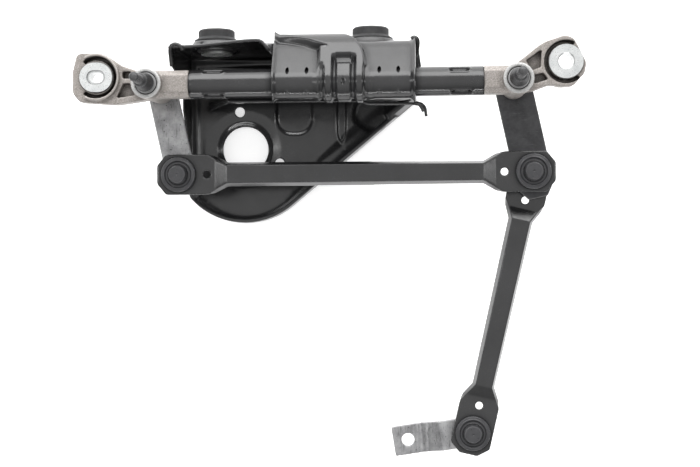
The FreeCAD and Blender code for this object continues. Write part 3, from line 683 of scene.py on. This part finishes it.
def panel_move(x, y, z):
    """The drawn funnel round the pilot hole and the raised ridge along the diagonal edge."""
    funnel = -2.4 * (1.0 - smoothstep(21.0, 37.0, math.hypot(x, y)))
    inward = DISH_R - x * math.cos(DIAGONAL) - y * math.sin(DIAGONAL)
    along = -x * math.sin(DIAGONAL) + y * math.cos(DIAGONAL)
    ridge = 3.0 * (1.0 - smoothstep(9.0, 21.0, inward)) * smoothstep(10.0, 55.0, along)
    return funnel + ridge * smoothstep(-14.0, 0.0, z)


def steeper_skirt(x, y, z):
    """Pushes the top of the drawn skirt outward, under the rim's own outline."""
    facing = Vector((math.cos(DIAGONAL), math.sin(DIAGONAL)))
    here = Vector((x, y))
    if y < 0.0 and x * facing.y - y * facing.x > 0.0:
        facing = here.normalized()
    inward = DISH_R - here.dot(facing)
    if inward > SKIRT_REACH or inward < 0.0 or z < SKIRT_FOOT_Z:
        return here
    push = 0.8 * inward * smoothstep(SKIRT_FOOT_Z, -9.0, z) * (1.0 - smoothstep(5.0, SKIRT_REACH, inward))
    return here + facing * push


def motor_plate():
    """The pressed bracket: dish, skirt, back wall and roof, with the curls of its edges."""
    mesh = softened(NODES["motor_plate"].data.copy(), 0.85, 5)
    for vertex in mesh.vertices:
        x, y, z = vertex.co / MM
        if y > ROOF_FROM[0] and z > ROOF_FROM[1]:
            y += roof_move(x, z)
        if y < PANEL_TO[0] and z < PANEL_TO[1]:
            z += panel_move(x, y, z)
        if y < SKIRT_TO[0] and z < SKIRT_TO[1]:
            x, y = steeper_skirt(x, y, z)
        vertex.co = Vector((x, y, z)) * MM
    left_curl = [(-50.2, 66.0, 91.0), (-50.4, 73.0, 93.0), (-50.4, 79.0, 96.0), (-49.2, 82.6, 97.4),
                 (-46.6, 84.2, 97.6), (-43.4, 83.8, 97.4), (-40.6, 81.8, 97.2), (-39.6, 79.0, 96.4)]
    right_curl = [(156.6, 87.6, 80.0), (158.6, 88.6, 80.5), (160.6, 87.4, 80.0), (161.0, 84.0, 78.0),
                  (160.4, 79.0, 75.0), (161.0, 73.0, 70.0), (162.6, 63.0, 62.0)]
    front_edge = [(x, 84.5 + roof_move(x, 98.0), 97.2) for x in range(-40, 38, 3)]
    curls = [ribbon(smooth_path(left_curl), 1.7, 1.2), ribbon(smooth_path(right_curl), 2.6, 1.2),
             ribbon(front_edge, 1.5, 1.0)]
    add_piece("motor_plate_finished", joined("plate", [mesh] + curls), "motor_plate")


def tube_cradle():
    """The leaning wall under the tube, with its turned hem, slanting end flange and bent tab."""
    wall = softened(NODES["tube_cradle"].data.copy(), 0.7, 4)
    end = [(-33.0, 37.6, 0.8), (-24.0, 37.4, 26.0), (-10.0, 36.6, 64.0), (-1.5, 36.0, 87.0)]
    hem = [(-1.5, 36.0, 87.0), (1.5, 35.4, 89.8), (8.0, 35.1, 90.2), (60.0, 34.9, 90.4), (108.0, 34.7, 90.4),
           (113.0, 34.2, 90.4), (118.0, 32.4, 90.4), (124.0, 31.8, 90.4), (158.0, 31.4, 90.4)]
    tab = [(158.0, 31.4, 90.4), (162.5, 30.6, 90.4), (165.0, 27.6, 90.2), (166.4, 24.6, 89.6)]
    finger = [(160.0, 32.5, 88.4), (164.8, 31.0, 88.2), (167.6, 27.6, 87.8), (168.6, 20.6, 87.2)]
    parts = [wall, ribbon(smooth_path(end), 2.4, 1.0), ribbon(smooth_path(hem), 1.2, 1.0),
             ribbon(smooth_path(tab), 1.5, 0.9), ribbon(smooth_path(finger), 1.3, 0.8)]
    add_piece("tube_cradle_finished", joined("cradle", parts), "tube_cradle")


TUBE_BORE_R = 11.0
TUBE_AROUND = 150                     # points round the tube
TUBE_CHAMFER = (0.4, 0.5)             # off the radius, along the tube
CRIMPS = ((-13.0, 52.0), (-12.5, -58.0), (196.8, 46.0), (198.5, -55.0))     # x in mm, degrees from the front
CRIMP_REACH = 12.0
CRIMP_HALF = 6.5                      # half of its straight length
FINE_STEP = 0.5                       # between rings of points near a crimp
PLAIN_STEP = 3.0                      # and elsewhere


def crimp(x, turn, cx, angle):
    """Depth of a staked crimp in the tube, centred at (cx, angle in degrees)."""
    along = abs(x - cx)
    across = math.radians(abs(turn - angle)) * TUBE_R
    oblong = math.hypot(max(along - CRIMP_HALF, 0.0), across)
    dent = 1.3 * (1.0 - smoothstep(1.4, 2.3, oblong))
    pits = 0.9 * (1.0 - smoothstep(0.6, 1.7, math.hypot(along - 6.8, across)))
    rim = 0.45 * math.exp(-((oblong - 3.1) / 0.7) ** 2)
    return dent + pits - rim


def tube_stations(x0, x1):
    """Where the tube has rings of points: closer together near the crimps."""
    chamfer = TUBE_CHAMFER[1]
    stations = [x0, x0 + chamfer]
    while stations[-1] + 1.0 < x1 - chamfer:
        x = stations[-1]
        near = min(abs(x - cx) for cx, _ in CRIMPS) < CRIMP_REACH
        stations.append(min(x + (FINE_STEP if near else PLAIN_STEP), x1 - chamfer))
    return stations + [x1]


def tube_ring(x, radius_at):
    """A ring of points round the tube's axis; radius_at gives the radius at an angle in degrees."""
    ring = []
    for j in range(TUBE_AROUND):
        turn = 360.0 * j / TUBE_AROUND - 180.0
        radius = radius_at(turn)
        angle = math.radians(turn)
        ring.append((x, TUBE_Y + radius * math.sin(angle), TUBE_Z + radius * math.cos(angle)))
    return ring


def cross_tube():
    """The tube with the crimps that hold the housings in its ends."""
    low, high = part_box("cross_tube")
    x0, x1 = low.x / MM, high.x / MM

    def skin(x):
        radius = TUBE_R - (TUBE_CHAMFER[0] if x in (x0, x1) else 0.0)
        near = [(cx, angle) for cx, angle in CRIMPS if abs(x - cx) < CRIMP_REACH]
        return lambda turn: radius - sum(crimp(x, turn, cx, angle) for cx, angle in near)

    rows = [tube_ring(x, skin(x)) for x in tube_stations(x0, x1)]
    rows += [tube_ring(x, lambda turn: TUBE_BORE_R) for x in (x1, x0)]
    rows.append(rows[0])
    add_piece("cross_tube_finished", grid_mesh("tube", rows, closed=True), "cross_tube")


motor_plate()
tube_cradle()
cross_tube()


# ---------------------------------------------------------------- spindles

KNURL_RIDGES = 24
KNURL_TWIST = 0.42        # ridges passed per mm
KNURL_DEPTH = 0.75
KNURL_RINGS = 44
THREAD_PITCH = 1.25       # M8
THREAD_DEPTH = 0.62
THREAD_R = 4.0
THREAD_RINGS = 92
SPINDLE_AROUND = 96       # points round the spindle


def zigzag(value):
    """1 at whole numbers and 0 half way between them."""
    return abs((value % 1.0) - 0.5) * 2.0


def spindle(side):
    """Spindle with a diamond knurl on its cone and an M8 thread on its tip."""
    low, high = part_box(side + "_spindle")
    cx = (low.x + high.x) / 2.0 / MM
    cy = (low.y + high.y) / 2.0 / MM
    foot, tip = low.z / MM, high.z / MM
    ring = BOSS_FRONT_Z
    knurl = (ring + 5.0, ring + 20.5)
    thread = (ring + 24.5, tip - 1.0)
    profile = [(foot, 7.5), (foot + 0.9, 7.5), (foot + 1.0, 6.0), (ring + 0.5, 6.0), (ring + 1.5, 7.8),
               (ring + 4.6, 8.0)]
    for i in range(KNURL_RINGS + 1):
        profile.append((lerp(*knurl, i / KNURL_RINGS), lerp(7.7, 6.15, i / KNURL_RINGS)))
    profile += [(ring + 21.0, 6.1), (ring + 22.2, 4.6), (ring + 22.8, 3.7), (ring + 24.2, 3.6)]
    for i in range(THREAD_RINGS + 1):
        profile.append((lerp(*thread, i / THREAD_RINGS), THREAD_R))
    profile += [(tip - 0.4, 3.2), (tip, 2.9)]
    rows = []
    for z, radius in profile:
        row = []
        for j in range(SPINDLE_AROUND):
            turn = j / SPINDLE_AROUND
            r = radius
            if knurl[0] <= z <= knurl[1]:
                ridge = turn * KNURL_RIDGES
                cross = max(zigzag(ridge + z * KNURL_TWIST), zigzag(ridge - z * KNURL_TWIST))
                r = radius - KNURL_DEPTH * (1.0 - cross)
            if thread[0] <= z <= thread[1]:
                r = radius - THREAD_DEPTH * (1.0 - zigzag(z / THREAD_PITCH - turn))
            angle = turn * 2.0 * math.pi
            row.append((cx + r * math.cos(angle), cy + r * math.sin(angle), z))
        rows.append(row)
    mesh = grid_mesh("spindle", rows, closed=True, caps=True)
    add_piece(side + "_spindle_finished", mesh, side + "_spindle")


for side in ("left", "right"):
    spindle(side)


# ---------------------------------------------------------------- stage

FLOOR_GAP = 0.0002     # m, between the part's lowest point and the floor


def stage():
    """A plain pale floor."""
    bpy.ops.mesh.primitive_plane_add(size=12.0, location=(0.1, 0.0, cad_low.z - FLOOR_GAP))
    floor = bpy.context.object
    floor.name = "floor"
    floor.data.materials.append(floor_paint())


def area_light(name, size, energy, place, aim):
    """A soft box of a width and height in metres, turned to face a point."""
    data = bpy.data.lights.new(name, "AREA")
    data.shape = "RECTANGLE"
    data.size, data.size_y = size
    data.energy = energy
    lamp = bpy.data.objects.new(name, data)
    lamp.location = place
    lamp.rotation_mode = "QUATERNION"
    lamp.rotation_quaternion = (Vector(aim) - Vector(place)).to_track_quat("-Z", "Y")
    bpy.context.scene.collection.objects.link(lamp)


def lights():
    """A wide soft box behind the part, thin strips on its other sides, and a sky that fades downward."""
    centre = (0.1, -0.05, 0.05)
    area_light("key_softbox", (2.6, 0.85), 36.0, (0.1, 1.15, 0.88), centre)
    area_light("back_card", (2.6, 0.5), 12.0, (0.1, 1.45, 0.30), centre)
    area_light("front_strip", (1.8, 0.07), 7.0, (0.15, -1.4, 0.34), centre)
    area_light("left_strip", (0.08, 1.2), 2.5, (-1.0, 0.1, 0.95), centre)
    area_light("right_strip", (0.08, 1.2), 2.0, (1.25, 0.1, 0.85), centre)
    world = bpy.data.worlds.new("studio")
    world.use_nodes = True
    tree = world.node_tree
    place = tree.nodes.new("ShaderNodeTexCoord")
    split = tree.nodes.new("ShaderNodeSeparateXYZ")
    tree.links.new(place.outputs["Generated"], split.inputs["Vector"])
    fade = tree.nodes.new("ShaderNodeMapRange")
    fade.inputs["From Min"].default_value = 0.25
    fade.inputs["From Max"].default_value = 0.95
    fade.inputs["To Min"].default_value = 0.10
    fade.inputs["To Max"].default_value = 1.05
    tree.links.new(split.outputs["Z"], fade.inputs["Value"])
    tree.links.new(fade.outputs["Result"], tree.nodes["Background"].inputs["Strength"])
    tree.nodes["Background"].inputs["Color"].default_value = (1.0, 1.0, 1.0, 1.0)
    bpy.context.scene.world = world


def camera():
    """The photograph's view: from above, square to the plate but for a few degrees."""
    data = bpy.data.cameras.new("camera")
    data.lens = LENS
    data.sensor_width = 36.0
    data.clip_end = 20.0
    eye = bpy.data.objects.new("camera", data)
    back = CAMERA_RIGHT.cross(CAMERA_UP)
    rotation = Matrix((CAMERA_RIGHT, CAMERA_UP, back)).transposed().to_4x4()
    eye.matrix_world = Matrix.Translation(CAMERA_AT) @ rotation
    bpy.context.scene.collection.objects.link(eye)
    bpy.context.scene.camera = eye


stage()
lights()
camera()
bpy.context.scene.view_settings.view_transform = "Standard"
